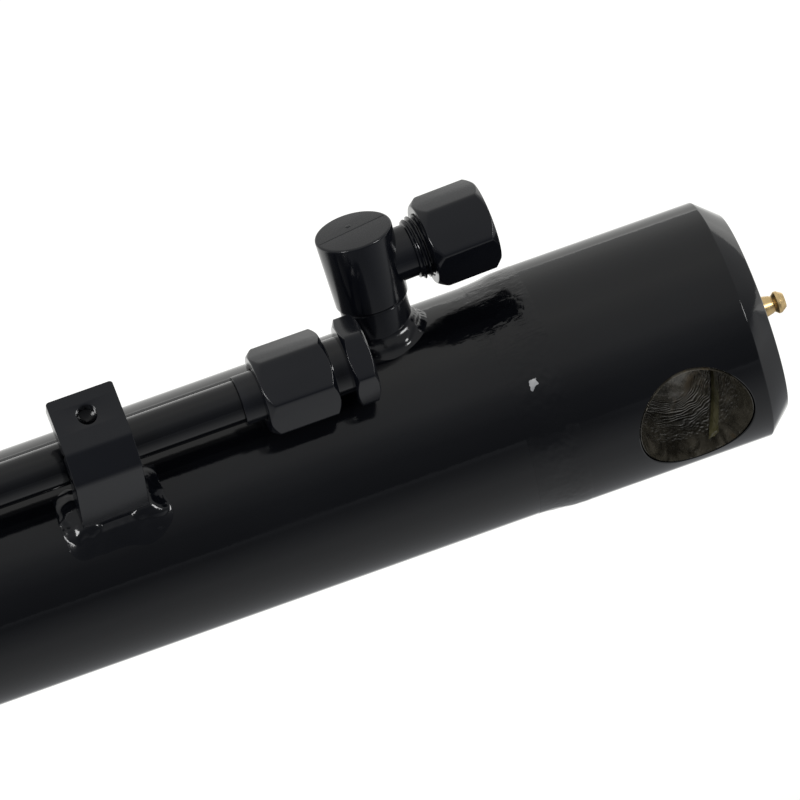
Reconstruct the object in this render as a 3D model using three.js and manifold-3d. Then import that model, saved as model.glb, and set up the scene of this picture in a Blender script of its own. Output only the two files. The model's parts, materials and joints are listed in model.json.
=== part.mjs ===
// Welded hydraulic cylinder: base block with a cross pin bore, barrel, two ports with
// compression fittings, a steel pipe along the barrel, piston, gland, chromed rod and rod eye.
//
// Millimetres. The origin is the centre of the base pin bore. +X runs along the cylinder towards
// the rod eye, +Y runs along the base pin, +Z is up. The rod is shown fully retracted.

import * as THREE from 'three';
import { mergeVertices } from 'three/addons/utils/BufferGeometryUtils.js';
import Module from 'manifold-3d';

const wasm = await Module();
wasm.setup();

// ---------------------------------------------------------------- driving dimensions

const GAP = 0.3; // between pieces that touch
const STROKE = 340;
const CLOSED_LENGTH = 590; // from pin to pin

const tube = { outerR: 32.5, innerR: 27.5, start: 36, end: 512, bevel: 3.7 };
const block = { r: 34, endFace: -27.5, faceR: 28.2, chamferStart: -21, end: 32.3, spigotEnd: 46 };
const pinBush = { bore: 15, outer: 16.7 };
const pipe = { r: 6, wall: 1.5, axis: 46.5, tilt: THREE.MathUtils.degToRad(-14.5) };
const thread = { r: 8.75, nutR: 9.05 }; // M18 union thread and its nut
const union = { acrossFlats: 22, length: 18.4, near: 16.8 }; // nut, measured from its post
const capUnion = { acrossFlats: 23, length: 18.6, near: 17.8 };
const capPort = {
  x: 72.8,
  axis: 53,
  tilt: THREE.MathUtils.degToRad(17),
  turn: THREE.MathUtils.degToRad(3),
};
const rodPort = { x: 466, axis: pipe.axis, tilt: pipe.tilt, turn: 0 };
const post = { neckR: 9.5, bodyR: 10.9, below: 9.6, above: 11.8, passageR: 4.5 };
const stub = { neckR: 7.4, neckEnd: 14.4, tip: 28.6, counterbore: 6 };
const bracket = { width: 19.4, thickness: 6.5, tilt: Math.PI / 4 };
const bracketHole = { r: 3.1, mouthR: 3.4, depth: 5.8, at: [52.15, 34] }; // tapped, blind
const bracketStarts = [150.9, 379.9];
const rod = { r: 15, spigotR: 12, threadR: 11.7, tail: 50, shoulder: 116.3, end: 544.7 };
const piston = { r: 27, start: 80, end: 116 };
const gland = { r: 27.2, noseR: 23, noseStart: 457, noseEnd: 478, flangeR: 31.5, flangeEnd: 524 };
const lockScrew = { x: 503, tilt: THREE.MathUtils.degToRad(110), holeR: 3, screwR: 2.6 };
const eye = { r: 31, halfWidth: 25, shankR: 21, shankStart: 538, socketEnd: 545, x: CLOSED_LENGTH };

// Sides of the faceted round pieces, by size.
const BIG_ROUND = 36;
const MID_ROUND = 24;
const SMALL_ROUND = 16;
const TINY_ROUND = 8;

const finishes = {
  blackPaint: { color: 0x0c0d0e, roughness: 0.22, metalness: 0 },
  chrome: { color: 0xd6d8da, roughness: 0.12, metalness: 1 },
  bareSteel: { color: 0x8b8d90, roughness: 0.4, metalness: 1 },
  greasySteel: { color: 0x57513c, roughness: 0.35, metalness: 1 },
  brass: { color: 0xc8a05a, roughness: 0.3, metalness: 1 },
  bronze: { color: 0x8f7040, roughness: 0.4, metalness: 1 },
  castIron: { color: 0x4a4b4c, roughness: 0.55, metalness: 1 },
  rubber: { color: 0x17181a, roughness: 0.6, metalness: 0 },
  seal: { color: 0x2c4f74, roughness: 0.5, metalness: 0 },
  bearingPlastic: { color: 0x7c5a34, roughness: 0.5, metalness: 0 },
};

// ---------------------------------------------------------------- shape helpers

function signedVolume(vertices, triangles) {
  const [a, b, c] = [new THREE.Vector3(), new THREE.Vector3(), new THREE.Vector3()];
  let sum = 0;
  for (let i = 0; i < triangles.length; i += 3) {
    a.fromArray(vertices, 3 * triangles[i]);
    b.fromArray(vertices, 3 * triangles[i + 1]);
    c.fromArray(vertices, 3 * triangles[i + 2]);
    sum += a.dot(b.cross(c));
  }
  return sum / 6;
}

// A closed three.js geometry as a solid that can be joined and cut.
function solidOf(geometry) {
  geometry.deleteAttribute('normal');
  geometry.deleteAttribute('uv');
  const merged = mergeVertices(geometry, 1e-4);
  const vertices = merged.getAttribute('position').array;
  const index = merged.getIndex().array;
  const triangles = [];
  for (let i = 0; i < index.length; i += 3) {
    const [a, b, c] = [index[i], index[i + 1], index[i + 2]];
    if (a !== b && b !== c && c !== a) {
      triangles.push(a, b, c);
    }
  }
  if (signedVolume(vertices, triangles) < 0) {
    for (let i = 0; i < triangles.length; i += 3) {
      [triangles[i], triangles[i + 1]] = [triangles[i + 1], triangles[i]];
    }
  }
  const mesh = new wasm.Mesh({
    numProp: 3,
    vertProperties: new Float32Array(vertices),
    triVerts: new Uint32Array(triangles),
  });
  return new wasm.Manifold(mesh);
}

function geometryOf(solid) {
  const mesh = solid.getMesh();
  const geometry = new THREE.BufferGeometry();
  geometry.setAttribute('position', new THREE.BufferAttribute(mesh.vertProperties, 3));
  geometry.setIndex(new THREE.BufferAttribute(mesh.triVerts, 1));
  geometry.computeVertexNormals();
  return geometry;
}

// Profiles are [along, radius] pairs. They start and end on the axis, or close on themselves.
function latheOf(profile, sides) {
  const onAxis = profile[0][1] === 0;
  const outline = onAxis ? profile : [...profile, profile[0]];
  const points = outline.map(([along, radius]) => new THREE.Vector2(radius, along));
  return new THREE.LatheGeometry(points, sides);
}

function turnedX(profile, sides) {
  return solidOf(latheOf(profile, sides).rotateZ(-Math.PI / 2));
}

function turnedY(profile, sides) {
  return solidOf(latheOf(profile, sides));
}

function turnedZ(profile, sides) {
  return solidOf(latheOf(profile, sides).rotateX(Math.PI / 2));
}

// A plain round bar between two places along its axis, with its ends on the axis.
function bar(start, end, radius) {
  return [[start, 0], [start, radius], [end, radius], [end, 0]];
}

// A ring of rectangular section.
function ring(start, end, inner, outer) {
  return [[start, inner], [start, outer], [end, outer], [end, inner]];
}

// A prism along X over an outline of [y, z] points.
function prismX(outline, start, end) {
  const shape = new THREE.Shape(outline.map(([y, z]) => new THREE.Vector2(-z, y)));
  const geometry = new THREE.ExtrudeGeometry(shape, { depth: end - start, bevelEnabled: false });
  return solidOf(geometry.rotateY(Math.PI / 2).translate(start, 0, 0));
}

// A hexagonal prism along X. One flat faces the given angle from +Y towards +Z.
function hexX(start, end, acrossFlats, flatAngle) {
  const cornerR = acrossFlats / 2 / Math.cos(Math.PI / 6);
  const outline = [];
  for (let i = 0; i < 6; i += 1) {
    const angle = flatAngle + Math.PI / 6 + (i * Math.PI) / 3;
    outline.push([cornerR * Math.cos(angle), cornerR * Math.sin(angle)]);
  }
  return prismX(outline, start, end);
}

// A hexagon whose corners are turned down at each end. A chamfer is a round face of the given
// radius and a cone from it, with the length it takes along X for each millimetre of radius.
function chamferedHexX(start, end, acrossFlats, flatAngle, chamfer = {}) {
  const flatChamfer = Math.tan(Math.PI / 6);
  const { faceR = acrossFlats / 2 - 0.4, startSlope = flatChamfer, endSlope = flatChamfer } = chamfer;
  const cornerR = acrossFlats / 2 / Math.cos(Math.PI / 6);
  const drop = cornerR - faceR;
  const profile = [
    [start, 0],
    [start, faceR],
    [start + drop * startSlope, cornerR],
    [end - drop * endSlope, cornerR],
    [end, faceR],
    [end, 0],
  ];
  return hexX(start, end, acrossFlats, flatAngle).intersect(turnedX(profile, MID_ROUND));
}

function frameIn(parent, position, rotation = [0, 0, 0]) {
  const frame = new THREE.Group();
  frame.position.set(...position);
  frame.rotation.set(...rotation);
  parent.add(frame);
  return frame;
}

function addPiece(parent, name, solid, finish) {
  const mesh = new THREE.Mesh(geometryOf(solid), new THREE.MeshStandardMaterial(finishes[finish]));
  mesh.name = name;
  parent.add(mesh);
}

// ---------------------------------------------------------------- base end

const oilHoleR = 1.25;
const nippleThread = { holeR: 3.2, depth: 6 };

// Straight grease nipple, in a frame whose +X points out of the hole.
function addGreaseNipple(parent, prefix) {
  const body = turnedX([
    [-5.7, 1.45],
    [-5.7, 2.9],
    [GAP, 2.9],
    [GAP, 3.2],
    [3, 3.2],
    [5.2, 2.5],
    [5.7, 2.3],
    [6.2, 3.1],
    [7.2, 3.25],
    [9, 1.9],
    [9, 0.8],
    [7.6, 0.8],
    [6.8, 1.45],
    [2, 1.45],
    [1.6, 0.9],
    [-4, 0.9],
  ], SMALL_ROUND);
  const hexCollar = chamferedHexX(GAP, 3, 8, 0).subtract(turnedX(bar(-1, 4, 2.5), SMALL_ROUND));
  addPiece(parent, `${prefix}_nipple_body`, body.add(hexCollar), 'brass');

  const turns = 4;
  const coil = { r: 1.05, wire: 0.14, start: 2.4, end: 4.4 };
  const points = [];
  for (let i = 0; i <= turns * 10; i += 1) {
    const angle = (i * Math.PI) / 5;
    const along = THREE.MathUtils.lerp(coil.start, coil.end, i / (turns * 10));
    points.push(new THREE.Vector3(along, coil.r * Math.cos(angle), coil.r * Math.sin(angle)));
  }
  const wire = new THREE.Shape();
  for (let i = 0; i < 5; i += 1) {
    const angle = (i * 2 * Math.PI) / 5;
    const corner = [coil.wire * Math.cos(angle), coil.wire * Math.sin(angle)];
    if (i === 0) {
      wire.moveTo(...corner);
    } else {
      wire.lineTo(...corner);
    }
  }
  const path = new THREE.CatmullRomCurve3(points);
  const spring = new THREE.ExtrudeGeometry(wire, { steps: turns * 10, extrudePath: path });
  addPiece(parent, `${prefix}_nipple_spring`, solidOf(spring), 'bareSteel');

  const ballCentre = 6.35;
  const ball = new THREE.SphereGeometry(1.12, TINY_ROUND, 8).translate(ballCentre, 0, 0);
  addPiece(parent, `${prefix}_nipple_ball`, solidOf(ball), 'bareSteel');
}

// Hole for a nipple and the fine passage that feeds its pin, along X from a face.
function nippleHole(face, inward, depth) {
  const threadEnd = face + inward * nippleThread.depth;
  const passageEnd = face + inward * depth;
  const outside = face - inward;
  const wide = bar(Math.min(outside, threadEnd), Math.max(outside, threadEnd), nippleThread.holeR);
  const passage = bar(Math.min(outside, passageEnd), Math.max(outside, passageEnd), oilHoleR);
  return turnedX(wide, SMALL_ROUND).add(turnedX(passage, TINY_ROUND));
}

function bushWithOilHole(side, half) {
  const outer = pinBush.outer - GAP;
  const flare = { length: 7, r: outer - 0.6 };
  const shell = turnedY([
    [-half, flare.r],
    [-half, outer],
    [half, outer],
    [half, flare.r],
    [half - flare.length, pinBush.bore],
    [flare.length - half, pinBush.bore],
  ], MID_ROUND);
  const outside = side * 20;
  const hole = turnedX(bar(Math.min(0, outside), Math.max(0, outside), oilHoleR), TINY_ROUND);
  return shell.subtract(hole);
}

function addBaseEnd(parent) {
  const grooveR = 29;
  const spigotR = tube.innerR - GAP;
  const body = turnedX([
    [block.endFace, 0],
    [block.endFace, block.faceR],
    [block.chamferStart, block.r],
    [block.end, block.r],
    [tube.start - GAP, grooveR],
    [tube.start - GAP, spigotR],
    [block.spigotEnd - 1, spigotR],
    [block.spigotEnd, spigotR - 1],
    [block.spigotEnd, 0],
  ], BIG_ROUND);
  const pinHole = turnedY(bar(-40, 40, pinBush.outer), MID_ROUND);
  const feed = nippleHole(block.endFace, 1, 15);
  addPiece(parent, 'base_block', body.subtract(pinHole).subtract(feed), 'blackPaint');

  const weld = turnedX([
    [tube.start - 0.14, grooveR + 0.4],
    [block.end + 0.3, block.r + 0.2],
    [34.5, block.r + 0.4],
    [37.5, tube.outerR + 1.1],
    [tube.start + tube.bevel - 0.1, tube.outerR + 0.4],
  ], BIG_ROUND);
  addPiece(parent, 'base_weld', weld, 'blackPaint');

  // The bush reaches the block's round surface, so its ends are saddles.
  const saddle = turnedX(bar(-60, 60, block.r - 0.6), BIG_ROUND);
  addPiece(parent, 'base_bush', bushWithOilHole(-1, block.r).intersect(saddle), 'greasySteel');
  addGreaseNipple(frameIn(parent, [block.endFace, 0, 0], [0, 0, Math.PI]), 'base');
}

// ---------------------------------------------------------------- barrel and ports

// Hole across the tube wall, at a place along it and an angle round it.
function wallHole(x, tilt, radius) {
  const geometry = latheOf(bar(20, 40, radius), SMALL_ROUND);
  return solidOf(geometry.rotateX(Math.PI / 2).rotateX(tilt).translate(x, 0, 0));
}

function addTube(parent) {
  const wall = turnedX([
    [tube.start, tube.innerR],
    [tube.start, 29],
    [tube.start + tube.bevel, tube.outerR],
    [tube.end, tube.outerR],
    [tube.end, tube.innerR],
  ], BIG_ROUND);
  const bored = wall
    .subtract(wallHole(capPort.x, capPort.tilt, 5))
    .subtract(wallHole(rodPort.x, rodPort.tilt, 5))
    .subtract(wallHole(lockScrew.x, lockScrew.tilt, lockScrew.holeR));
  addPiece(parent, 'barrel_tube', bored, 'blackPaint');
}

// The barrel's surface with its gap, to cut what stands on it.
function barrelCutter() {
  return turnedX(bar(-60, 60, tube.outerR + GAP), BIG_ROUND);
}

// Weld-on elbow: a post that stands on the barrel, with a threaded stub towards the base.
function addPortPost(parent, name, port) {
  const frame = frameIn(parent, [port.x, 0, 0], [port.tilt, 0, 0]);
  const bodyStart = port.axis - post.below;
  const top = port.axis + post.above;
  const upright = turnedZ([
    [28, 0],
    [28, post.neckR],
    [bodyStart - 1.2, post.neckR],
    [bodyStart, post.bodyR],
    [top - 0.9, post.bodyR],
    [top, post.bodyR - 0.9],
    [top, 0],
  ], MID_ROUND);
  const arm = latheOf([
    [0, 0],
    [0, stub.neckR],
    [stub.neckEnd, stub.neckR],
    [stub.neckEnd + 0.8, thread.r],
    [stub.tip, thread.r],
    [stub.tip, 0],
  ], SMALL_ROUND);
  const bore = latheOf([
    [0, 0],
    [0, post.passageR],
    [stub.tip - stub.counterbore, post.passageR],
    [stub.tip - stub.counterbore, pipe.r + GAP],
    [stub.tip - 2, pipe.r + GAP],
    [stub.tip + 1, pipe.r + GAP + 1.6],
    [stub.tip + 1, 0],
  ], SMALL_ROUND);
  const aim = (geometry) => geometry.rotateZ(Math.PI / 2).rotateZ(port.turn).translate(0, 0, port.axis);
  const feed = turnedZ(bar(20, port.axis + 3, post.passageR), SMALL_ROUND);
  const elbow = upright
    .add(solidOf(aim(arm)))
    .subtract(solidOf(aim(bore)))
    .subtract(feed)
    .subtract(barrelCutter());
  addPiece(frame, `${name}_post`, elbow, 'blackPaint');

  const weldTop = Math.min(tube.outerR + 3.7, bodyStart - 1.8);
  const weld = turnedZ([
    [28, post.neckR + GAP],
    [28, 13],
    [weldTop - 2.4, 13],
    [weldTop, post.neckR + GAP + 0.4],
    [weldTop, post.neckR + GAP],
  ], MID_ROUND);
  addPiece(frame, `${name}_weld`, weld.subtract(barrelCutter()), 'blackPaint');
  return frameIn(frame, [0, 0, port.axis], [0, 0, port.turn]);
}

// Union nut in its port's frame, with the thread's mouth towards the post.
function unionNut({ acrossFlats, length, near }, holeR, flatAngle) {
  const start = -near - length;
  const end = -near;
  const chamfer = { faceR: acrossFlats / 2 - 0.2, startSlope: 1.1, endSlope: 1.4 };
  const outside = chamferedHexX(start, end, acrossFlats, flatAngle, chamfer);
  const inside = turnedX([
    [start - 1, 0],
    [start - 1, holeR],
    [start + 2, holeR],
    [start + 5, thread.nutR],
    [end + 1, thread.nutR],
    [end + 1, 0],
  ], SMALL_ROUND);
  return outside.subtract(inside);
}

function addCapPort(parent) {
  const frame = addPortPost(parent, 'cap_port', capPort);
  const flatAngle = THREE.MathUtils.degToRad(34.3);
  addPiece(frame, 'cap_port_nut', unionNut(capUnion, pipe.r + GAP, flatAngle), 'blackPaint');
  const tip = -stub.tip - GAP;
  const cuttingRing = turnedX([
    [tip, pipe.r + 0.15],
    [tip, thread.r],
    [tip - 1, thread.r],
    [tip - 2.6, pipe.r + 1.2],
    [tip - 2.6, pipe.r + 0.15],
  ], SMALL_ROUND);
  addPiece(frame, 'cap_port_ring', cuttingRing, 'bareSteel');
}

// ---------------------------------------------------------------- pipe along the barrel

const pipeEnds = { plug: 98.3, post: 443.1 };
const pipePlug = { start: 81.5, hexEnd: 88.2, neckR: 8, tip: 104 };
const pipeNut = { start: 93, end: 113.3, coneStart: 107.4, coneEnd: 109.6 };
const collarSleeveR = 7;

// Collar on the pipe: a wide cone at the seat that the union nut draws up, and a sleeve behind it.
function collar(seat, sleeveEnd) {
  const way = Math.sign(sleeveEnd - seat);
  return turnedX([
    [seat, pipe.r + GAP],
    [seat, thread.r],
    [seat + way, thread.r],
    [seat + way * 2.9, collarSleeveR],
    [sleeveEnd, collarSleeveR],
    [sleeveEnd, pipe.r + GAP],
  ], SMALL_ROUND);
}

function addPipe(parent) {
  const frame = frameIn(parent, [0, 0, 0], [pipe.tilt, 0, 0]);
  const line = frameIn(frame, [0, 0, pipe.axis]);
  const wall = turnedX(ring(pipeEnds.plug, pipeEnds.post, pipe.r - pipe.wall, pipe.r), SMALL_ROUND);
  addPiece(line, 'pipe', wall, 'blackPaint');

  const plugHexAngle = THREE.MathUtils.degToRad(1.5);
  const plugHex = chamferedHexX(pipePlug.start, pipePlug.hexEnd, union.acrossFlats, plugHexAngle);
  const plugBody = turnedX([
    [85, 0],
    [85, pipePlug.neckR],
    [pipeNut.start, pipePlug.neckR],
    [pipeNut.start + 0.8, thread.r],
    [pipePlug.tip, thread.r],
    [pipePlug.tip, pipe.r + GAP],
    [pipeEnds.plug - GAP, pipe.r + GAP],
    [pipeEnds.plug - GAP, 3.5],
    [92, 3.5],
    [90, 0],
  ], SMALL_ROUND);
  addPiece(line, 'pipe_end_plug', plugHex.add(plugBody), 'blackPaint');

  const nutAngle = THREE.MathUtils.degToRad(6.9);
  const chamfer = { faceR: union.acrossFlats / 2 - 0.2, startSlope: 0.8, endSlope: 1.2 };
  const nutOutside = chamferedHexX(pipeNut.start, pipeNut.end, union.acrossFlats, nutAngle, chamfer);
  const nutInside = turnedX([
    [pipeNut.start - 1, 0],
    [pipeNut.start - 1, thread.nutR],
    [pipeNut.coneStart, thread.nutR],
    [pipeNut.coneEnd, collarSleeveR + 0.4],
    [pipeNut.end + 1, collarSleeveR + 0.4],
    [pipeNut.end + 1, 0],
  ], SMALL_ROUND);
  addPiece(line, 'pipe_nut_base_end', nutOutside.subtract(nutInside), 'blackPaint');
  addPiece(line, 'pipe_collar_base_end', collar(pipePlug.tip + GAP, 119), 'blackPaint');
}

function addRodPort(parent) {
  const frame = addPortPost(parent, 'rod_port', rodPort);
  addPiece(frame, 'pipe_nut_rod_end', unionNut(union, collarSleeveR + 0.4, 0.4), 'blackPaint');
  addPiece(frame, 'pipe_collar_rod_end', collar(-stub.tip - GAP, -41), 'blackPaint');
}

// ---------------------------------------------------------------- clamp brackets

// Bent flat bar over the pipe. The outline's points are [out, up] in a frame tilted about X.
function bracketOutline() {
  const outer = [[24, -2.6], [52, 15.9], [54.5, 25.2], [50.38, 40.6]];
  const line = outer.map(([y, z]) => new THREE.Vector2(y, z));
  const directions = [];
  for (let i = 0; i < line.length - 1; i += 1) {
    directions.push(line[i + 1].clone().sub(line[i]).normalize());
  }
  const inner = line.map((point, i) => {
    const before = directions[Math.max(i - 1, 0)];
    const after = directions[Math.min(i, directions.length - 1)];
    const normal = new THREE.Vector2(-before.y - after.y, before.x + after.x).normalize();
    const halfTurn = Math.sqrt((1 + before.dot(after)) / 2);
    return point.clone().addScaledVector(normal, bracket.thickness / halfTurn);
  });
  return [...line, ...inner.reverse()].map((point) => [point.x, point.y]);
}

function addBracket(parent, number, start) {
  const middle = start + bracket.width / 2;
  const frame = frameIn(parent, [middle, 0, 0], [bracket.tilt, 0, 0]);
  const half = bracket.width / 2;
  const faceAngle = Math.atan2(4.2, 15.7);
  const countersink = bracketHole.mouthR - bracketHole.r;
  const drill = latheOf([
    [-bracketHole.depth, 0],
    [-bracketHole.depth, bracketHole.r],
    [-countersink, bracketHole.r],
    [0, bracketHole.mouthR],
    [1, bracketHole.mouthR],
    [1, 0],
  ], SMALL_ROUND);
  drill.rotateX(faceAngle).translate(0, ...bracketHole.at);
  const flat = prismX(bracketOutline(), -half, half).subtract(barrelCutter()).subtract(solidOf(drill));
  addPiece(frame, `clamp_bracket_${number}`, flat, 'blackPaint');

  // The weld: a bead on each side of the foot and a strip below it, round the barrel.
  const foot = { inner: tube.outerR + GAP, height: 4.2, low: -0.09, stripHigh: 0.045, high: 0.5 };
  const beadWidth = { baseSide: 5.4, rodSide: 4.4 };
  const arc = (from, to, x0, x1) => {
    const steps = 6;
    const outline = [];
    for (let i = 0; i <= steps; i += 1) {
      const angle = THREE.MathUtils.lerp(from, to, i / steps);
      outline.push([foot.inner * Math.cos(angle), foot.inner * Math.sin(angle)]);
    }
    for (let i = steps; i >= 0; i -= 1) {
      const angle = THREE.MathUtils.lerp(from, to, i / steps);
      const reach = foot.inner + foot.height;
      outline.push([reach * Math.cos(angle), reach * Math.sin(angle)]);
    }
    return prismX(outline, x0, x1);
  };
  const beads = [
    arc(foot.low, foot.high, -half - GAP - beadWidth.baseSide, -half - GAP),
    arc(foot.low, foot.high, half + GAP, half + GAP + beadWidth.rodSide),
    arc(foot.low, foot.stripHigh, -half - GAP - 1, half + GAP + 1),
  ];
  const keepOut = prismX([[20, -3.2], [54, 19.2], [54, 60], [20, 60]], -half - GAP, half + GAP);
  const weld = beads.reduce((sum, bead) => sum.add(bead)).subtract(keepOut);
  addPiece(frame, `bracket_weld_${number}`, weld, 'blackPaint');
}

// ---------------------------------------------------------------- gland

const glandSeats = {
  bush: { start: 460, end: 480, r: 18 },
  buffer: { start: 484, end: 490, r: 20.5 },
  seal: { start: 494, end: 502.5, r: 21.5 },
  wiper: { start: 517, r: 20.8 },
  oRing: { start: 484, end: 490, r: 23.8 },
};
const ROD_CLEARANCE = 0.35;

function addGland(parent) {
  const seats = glandSeats;
  const bore = rod.r + ROD_CLEARANCE;
  const groove = ({ start, end, r }) => [[end, bore], [end, r], [start, r], [start, bore]];
  const body = turnedX([
    [gland.noseStart, bore],
    [gland.noseStart, gland.noseR],
    [gland.noseEnd, gland.noseR],
    [gland.noseEnd, gland.r],
    [seats.oRing.start, gland.r],
    [seats.oRing.start, seats.oRing.r],
    [seats.oRing.end, seats.oRing.r],
    [seats.oRing.end, gland.r],
    [tube.end + GAP, gland.r],
    [tube.end + GAP, gland.flangeR],
    [gland.flangeEnd - 1, gland.flangeR],
    [gland.flangeEnd, gland.flangeR - 1],
    [gland.flangeEnd, seats.wiper.r],
    [seats.wiper.start, seats.wiper.r],
    [seats.wiper.start, bore],
    ...groove(seats.seal),
    ...groove(seats.buffer),
    ...groove(seats.bush),
  ], BIG_ROUND);
  let bored = body;
  const spannerHoles = 6;
  for (let i = 0; i < spannerHoles; i += 1) {
    const angle = (i * 2 * Math.PI) / spannerHoles;
    const hole = latheOf(bar(gland.flangeEnd - 7, gland.flangeEnd + 1, 2.5), TINY_ROUND);
    hole.rotateZ(-Math.PI / 2).translate(0, 26 * Math.cos(angle), 26 * Math.sin(angle));
    bored = bored.subtract(solidOf(hole));
  }
  const dimple = latheOf(bar(24, 40, lockScrew.holeR), TINY_ROUND);
  dimple.rotateX(Math.PI / 2).rotateX(lockScrew.tilt).translate(lockScrew.x, 0, 0);
  addPiece(parent, 'gland', bored.subtract(solidOf(dimple)), 'blackPaint');

  const screwFrame = frameIn(parent, [lockScrew.x, 0, 0], [lockScrew.tilt, 0, 0]);
  const screw = turnedZ(bar(24.3, tube.outerR - 0.4, lockScrew.screwR), TINY_ROUND);
  const socket = turnedZ(bar(tube.outerR - 3, tube.outerR + 1, 1.5), 6);
  addPiece(screwFrame, 'gland_lock_screw', screw.subtract(socket), 'bareSteel');

  const inSeat = ({ start, end, r }) => ring(start + GAP, end - GAP, bore, r - GAP);
  addPiece(parent, 'gland_guide_bush', turnedX(inSeat(seats.bush), MID_ROUND), 'bearingPlastic');
  addPiece(parent, 'buffer_seal', turnedX(inSeat(seats.buffer), MID_ROUND), 'seal');

  // U-cup rod seal with its lips towards the oil.
  const cup = seats.seal;
  const rodSeal = turnedX([
    [cup.start + GAP, bore],
    [cup.start + GAP, bore + 1.2],
    [cup.start + 3.5, bore + 2.4],
    [cup.start + 3.5, cup.r - GAP - 2.4],
    [cup.start + GAP, cup.r - GAP - 1.2],
    [cup.start + GAP, cup.r - GAP],
    [cup.end - GAP, cup.r - GAP],
    [cup.end - GAP, bore],
  ], MID_ROUND);
  addPiece(parent, 'rod_seal', rodSeal, 'seal');

  const wiperStart = seats.wiper.start + GAP;
  const wiperR = seats.wiper.r - GAP;
  const wiper = turnedX([
    [wiperStart, bore + 1],
    [wiperStart, wiperR],
    [gland.flangeEnd + 0.5, wiperR],
    [gland.flangeEnd + 0.5, wiperR - 2],
    [gland.flangeEnd + 3, bore + 0.9],
    [gland.flangeEnd + 3, bore],
    [gland.flangeEnd + 1, bore],
    [gland.flangeEnd - 2, bore + 1],
  ], MID_ROUND);
  addPiece(parent, 'wiper', wiper, 'rubber');

  const seat = seats.oRing;
  const oRing = ring(seat.start + GAP, seat.start + 3.4, seat.r + GAP, tube.innerR - 0.2);
  const backup = ring(seat.start + 3.7, seat.end - GAP, seat.r + GAP, tube.innerR - 0.2);
  addPiece(parent, 'gland_o_ring', turnedX(oRing, MID_ROUND), 'rubber');
  addPiece(parent, 'gland_backup_ring', turnedX(backup, MID_ROUND), 'seal');
}

// ---------------------------------------------------------------- piston and rod

const pistonSeats = {
  wearRings: [{ start: 83.5, end: 90, r: 24.6 }, { start: 106, end: 112.5, r: 24.6 }],
  seal: { start: 93.5, end: 102.5, r: 21.4, ringR: 24.6 },
  oRing: { start: 86, end: 89.5, r: 14.2 },
};
const RING_CLEARANCE = 0.2;

function addPiston(parent) {
  const seats = pistonSeats;
  const boreR = rod.spigotR + GAP;
  const groove = ({ start, end, r }) => [[start, piston.r], [start, r], [end, r], [end, piston.r]];
  const body = turnedX([
    [piston.start, boreR],
    [piston.start, piston.r - 1.5],
    [piston.start + 1.5, piston.r],
    ...groove(seats.wearRings[0]),
    ...groove(seats.seal),
    ...groove(seats.wearRings[1]),
    [piston.end - 1.5, piston.r],
    [piston.end, piston.r - 1.5],
    [piston.end, boreR],
    [seats.oRing.end, boreR],
    [seats.oRing.end, seats.oRing.r],
    [seats.oRing.start, seats.oRing.r],
    [seats.oRing.start, boreR],
  ], BIG_ROUND);
  addPiece(parent, 'piston', body, 'castIron');

  const ringR = tube.innerR - RING_CLEARANCE;
  seats.wearRings.forEach(({ start, end, r }, i) => {
    const band = turnedX(ring(start + GAP, end - GAP, r + GAP, ringR), BIG_ROUND);
    addPiece(parent, `wear_ring_${i + 1}`, band, 'bearingPlastic');
  });
  const { start, end, r, ringR: splitR } = seats.seal;
  addPiece(parent, 'piston_seal', turnedX(ring(start + GAP, end - GAP, splitR, ringR), BIG_ROUND), 'seal');
  const energiser = ring(start + 1.5, end - 1.5, r + GAP, splitR - GAP);
  addPiece(parent, 'piston_seal_energiser', turnedX(energiser, MID_ROUND), 'rubber');
  const oRing = seats.oRing;
  const staticSeal = ring(oRing.start + GAP, oRing.end - GAP, rod.spigotR + 0.2, oRing.r - 0.2);
  addPiece(parent, 'piston_o_ring', turnedX(staticSeal, MID_ROUND), 'rubber');
}

const pistonNut = { start: 60, end: 79.7, acrossFlats: 41, screwX: 66 };

function addRod(parent) {
  const body = turnedX([
    [rod.tail, 0],
    [rod.tail, rod.threadR - 1.5],
    [rod.tail + 1.5, rod.threadR],
    [piston.start, rod.threadR],
    [piston.start, rod.spigotR],
    [rod.shoulder, rod.spigotR],
    [rod.shoulder, rod.r],
    [rod.end, rod.r],
    [rod.end, 0],
  ], MID_ROUND);
  addPiece(parent, 'piston_rod', body, 'chrome');

  const screwHole = latheOf(bar(8, 30, 3), TINY_ROUND).rotateX(Math.PI / 2);
  const nut = chamferedHexX(pistonNut.start, pistonNut.end, pistonNut.acrossFlats, Math.PI / 2)
    .subtract(turnedX(bar(pistonNut.start - 1, pistonNut.end + 1, rod.threadR + GAP), MID_ROUND))
    .subtract(solidOf(screwHole.translate(pistonNut.screwX, 0, 0)));
  addPiece(parent, 'piston_nut', nut, 'bareSteel');

  const screwFrame = frameIn(parent, [pistonNut.screwX, 0, 0]);
  const screw = turnedZ([[rod.threadR + 0.4, 0], [rod.threadR + 1.5, 2.6], [20, 2.6], [20, 0]], TINY_ROUND);
  const socket = turnedZ(bar(17.5, 21, 1.5), 6);
  addPiece(screwFrame, 'piston_nut_screw', screw.subtract(socket), 'bareSteel');
}

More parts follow.
